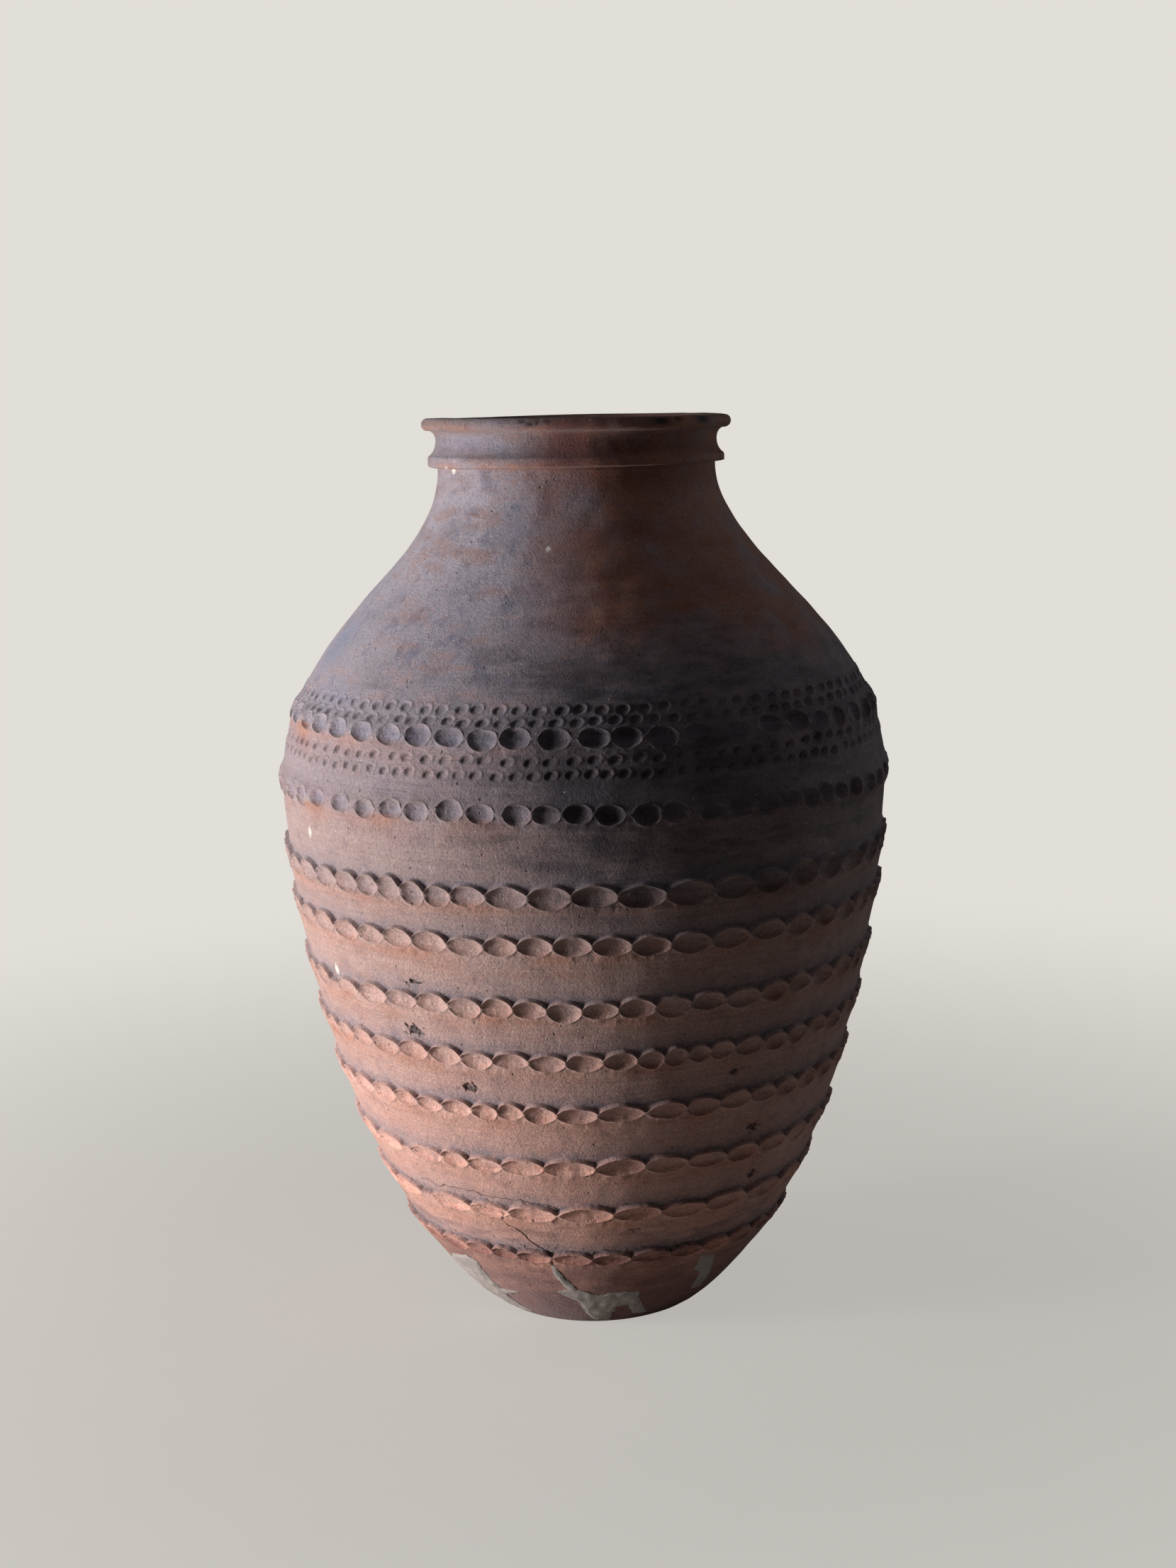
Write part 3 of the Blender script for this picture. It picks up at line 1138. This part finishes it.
# The mortar repairs. Grey mortar trowelled into three old breaks in the foot and wiped nearly flush,
# so that it laps thinly on to the clay with a ragged edge.
MORTAR_GRID = 100
MORTAR_THICK = 0.004
MORTAR_PROUD = 0.0008
MORTAR_RAGGED = 2.6
MORTAR_EDGE = 0.005
MORTAR_CLEAR = 0.00025
# The borders of the patches, as angles round the jar and heights, and the radius they are laid flat at
MORTAR_RADIUS = 0.14
MORTAR_PLACES = (
    ("mortar_repair_middle", (
        (-104.2, 0.083), (-102.8, 0.082), (-100.4, 0.065), (-97.1, 0.052), (-90.2, 0.0445), (-83.0, 0.047),
        (-75.2, 0.0462), (-74.0, 0.036), (-69.5, 0.0195), (-64.5, 0.0092), (-73.8, 0.0125), (-78.2, 0.0272),
        (-82.1, 0.0264), (-84.0, 0.0169), (-84.3, 0.0045), (-93.3, 0.0055), (-96.3, 0.0181), (-98.2, 0.0332),
        (-102.6, 0.0405), (-105.8, 0.0475), (-101.2, 0.0503), (-102.8, 0.0591), (-104.2, 0.0712))),
    ("mortar_repair_left", (
        (-136.0, 0.0745), (-132.4, 0.0700), (-133.2, 0.0600), (-133.4, 0.0480), (-132.0, 0.0365),
        (-122.0, 0.0385), (-122.4, 0.0362), (-131.4, 0.0290), (-129.4, 0.0170), (-124.0, 0.0062),
        (-142.0, 0.0062), (-158.0, 0.0200), (-160.0, 0.0480), (-148.0, 0.0660))),
    ("mortar_repair_right", (
        (-57.4, 0.0796), (-51.8, 0.0781), (-49.4, 0.0665), (-45.6, 0.0469), (-44.6, 0.031), (-50.8, 0.0335),
        (-52.0, 0.0464), (-52.6, 0.0554), (-56.1, 0.0615))),
)

mortar, tree, shader, place = new_material("mortar")
patches = speckle(tree, place, 60, 4, 0.6)
sand = speckle(tree, place, 520, 3, 0.65)
smears = drawn_out(tree, place, 60, 300, 3)
colour = layered(tree, stepped(tree, patches, 0.35, 0.68), tint(166, 158, 153), tint(184, 176, 171))
colour = layered(tree, stepped(tree, sand, 0.48, 0.70, 0, 0.45), colour, tint(112, 106, 105))
colour = layered(tree, stepped(tree, smears, 0.55, 0.72, 0, 0.35), colour, tint(186, 174, 170))
join(tree, colour, shader.inputs["Base Color"])
relief = reckon(tree, "MULTIPLY_ADD", smears, 0.8, reckon(tree, "MULTIPLY", sand, 0.9))
bump = add_node(tree, "Bump", Strength=0.6, Distance=0.0012, Height=relief)
join(tree, bump.outputs["Normal"], shader.inputs["Normal"])
join(tree, stepped(tree, patches, 0.3, 0.7, 0.84, 0.95), shader.inputs["Roughness"])
shader.inputs["Specular IOR Level"].default_value = 0.25

mortar_lumps = waves(71, 50, 0.006, 0.024, 0.00018)


def depth_inside(spots, border):
    """How far each spot lies inside a closed border, below 0 outside it."""
    nearest = np.full(len(spots), 1.0)
    inside = np.zeros(len(spots), dtype=bool)
    for start, end in zip(border, np.roll(border, -1, axis=0)):
        nearest = np.minimum(nearest, off_leg(spots, start, end))
        leg = end - start
        spans = (start[1] > spots[:, 1]) != (end[1] > spots[:, 1])
        rise = leg[1] if leg[1] else 1e-12
        crossing = start[0] + leg[0] * (spots[:, 1] - start[1]) / rise
        inside ^= spans & (spots[:, 0] < crossing)
    return np.where(inside, nearest, -nearest)


for name, border in MORTAR_PLACES:
    border = np.array([(math.radians(turn) * MORTAR_RADIUS, slope_at(high)) for turn, high in border])
    border_low = border.min(axis=0)
    border_high = border.max(axis=0)
    shape = bmesh.new()
    bmesh.ops.create_grid(shape, x_segments=MORTAR_GRID, y_segments=MORTAR_GRID, size=0.5)
    spots = np.array([point.co.xy for point in shape.verts]) + 0.5
    spots = border_low + spots * (border_high - border_low)
    angle = spots[:, 0] / MORTAR_RADIUS
    slope = spots[:, 1]
    inside = depth_inside(spots, border) + MORTAR_RAGGED * mortar_lumps(angle, slope)
    height = wall_point(slope)[1]
    thickness = MORTAR_PROUD * rising(inside, -0.001, MORTAR_EDGE)
    proud = hand_built(angle, height) + stepped_out(slope, 1) + thickness
    proud = proud + mortar_lumps(angle, height) * rising(inside, 0, 0.004)
    radius, height = wall_point(slope, proud + MORTAR_CLEAR)
    for point, turn, out, up in zip(shape.verts, angle, radius, height):
        point.co = (out * math.cos(turn), out * math.sin(turn), up)
    shape.verts.index_update()
    bare = [point for point in shape.verts if inside[point.index] < 0]
    bmesh.ops.delete(shape, geom=bare, context="VERTS")
    slivers = [face for face in shape.faces if sum(len(edge.link_faces) == 1 for edge in face.edges) > 2]
    bmesh.ops.delete(shape, geom=slivers, context="FACES")
    # The back of the patch is set straight into the break
    backed = bmesh.ops.extrude_face_region(shape, geom=shape.faces[:], use_keep_orig=True)["geom"]
    for point in backed:
        if isinstance(point, bmesh.types.BMVert):
            turn = math.atan2(point.co.y, point.co.x)
            out, up = wall_point(slope_at(max(point.co.z, FOOT_SEAM / 4)), -MORTAR_THICK)
            point.co = (out * math.cos(turn), out * math.sin(turn), up)
    bmesh.ops.recalc_face_normals(shape, faces=shape.faces)
    repair = finished(shape, name)
    settle(repair, mortar, "mortar", "mortar_repairs")


# The studio. A pale floor that fades into a pale ground, a large soft lamp at the left, a low one that
# stands for light off the floor, weak ones in front, above and behind, and a camera where the picture
# was taken from.
FLOOR_RADIUS = 12.0
GROUND = tint(226, 222, 216)


def show_mixed(tree, output, share, one, other):
    """Mixes two shaders by a share and gives them to the tree's output."""
    mixed = add_node(tree, "MixShader")
    for value, socket in zip((share, one, other), mixed.inputs):
        join(tree, value, socket)
    join(tree, mixed.outputs[0], tree.nodes[output].inputs["Surface"])


shape = bmesh.new()
bmesh.ops.create_circle(shape, cap_ends=True, segments=128, radius=FLOOR_RADIUS)
studio_floor = finished(shape, "studio_floor")
floor_paint, tree, shader, place = new_material("floor_paint")
shader.inputs["Roughness"].default_value = 0.9
shader.inputs["Specular IOR Level"].default_value = 0.1
worn = speckle(tree, place, 14, 4)
join(tree, layered(tree, worn, tint(186, 182, 176), tint(198, 194, 188)), shader.inputs["Base Color"])
distance = add_node(tree, "VectorMath", {"operation": "LENGTH"}, Vector=place).outputs["Value"]
seen = add_node(tree, "LightPath").outputs["Is Camera Ray"]
far = reckon(tree, "MULTIPLY", stepped(tree, distance, 0.30, 1.8, 0.62, 1.0), seen)
glow = add_node(tree, "Emission", Color=GROUND, Strength=1.0)
show_mixed(tree, "Material Output", far, shader.outputs[0], glow.outputs[0])
studio_floor.data.materials.append(floor_paint)

world = bpy.data.worlds.new("studio_air")
bpy.context.scene.world = world
world.use_nodes = True
tree = world.node_tree
ambient = tree.nodes["Background"]
ambient.inputs["Color"].default_value = tint(214, 216, 224)
ambient.inputs["Strength"].default_value = 0.010
ground = add_node(tree, "Background", Color=GROUND, Strength=1.0)
seen = add_node(tree, "LightPath").outputs["Is Camera Ray"]
show_mixed(tree, "World Output", seen, ambient.outputs[0], ground.outputs[0])


def soft_lamp(name, place, aim, size, power, colour):
    """A soft rectangular lamp that looks at a point."""
    lamp = bpy.data.lights.new(name, "AREA")
    lamp.shape = "RECTANGLE"
    lamp.size, lamp.size_y = size
    lamp.energy = power
    lamp.color = colour[:3]
    stand = bpy.data.objects.new(name, lamp)
    stand.location = place
    stand.rotation_euler = (Vector(aim) - Vector(place)).to_track_quat("-Z", "Y").to_euler()
    bpy.context.scene.collection.objects.link(stand)


soft_lamp("key_lamp", (-3.24, -0.91, 0.68), (0, 0, 0.42), (0.8, 1.0), 98, tint(253, 252, 252))
soft_lamp("floor_lamp", (-1.50, -0.08, 0.07), (0, 0, 0.16), (1.2, 0.4), 23.0, tint(255, 247, 240))
soft_lamp("front_lamp", (-0.6, -3.4, 1.6), (0, 0, 0.45), (1.6, 1.6), 1.2, tint(246, 248, 255))
soft_lamp("top_lamp", (0.6, -0.6, 2.8), (0, 0, 0.60), (0.9, 0.9), 2.8, tint(250, 246, 246))
soft_lamp("back_lamp", (2.8, 1.7, 0.8), (0, 0, 0.45), (0.9, 0.9), 8.5, tint(248, 248, 252))

CAMERA_PLACE = Vector((0.003, -2.086, 0.822))
CAMERA_PITCH = math.radians(9.52)
CAMERA_ROLL = math.radians(1.6)
CAMERA_LENS = 54.07
SENSOR_WIDTH = 36
camera_data = bpy.data.cameras.new("camera")
camera_data.lens = CAMERA_LENS
camera_data.sensor_width = SENSOR_WIDTH
camera = bpy.data.objects.new("camera", camera_data)
camera.matrix_world = (
    Matrix.Translation(CAMERA_PLACE)
    @ Matrix.Rotation(math.pi / 2 - CAMERA_PITCH, 4, "X")
    @ Matrix.Rotation(-CAMERA_ROLL, 4, "Z")
)
bpy.context.scene.collection.objects.link(camera)
bpy.context.scene.camera = camera
bpy.context.scene.view_settings.view_transform = "Standard"

bpy.context.view_layer.update()
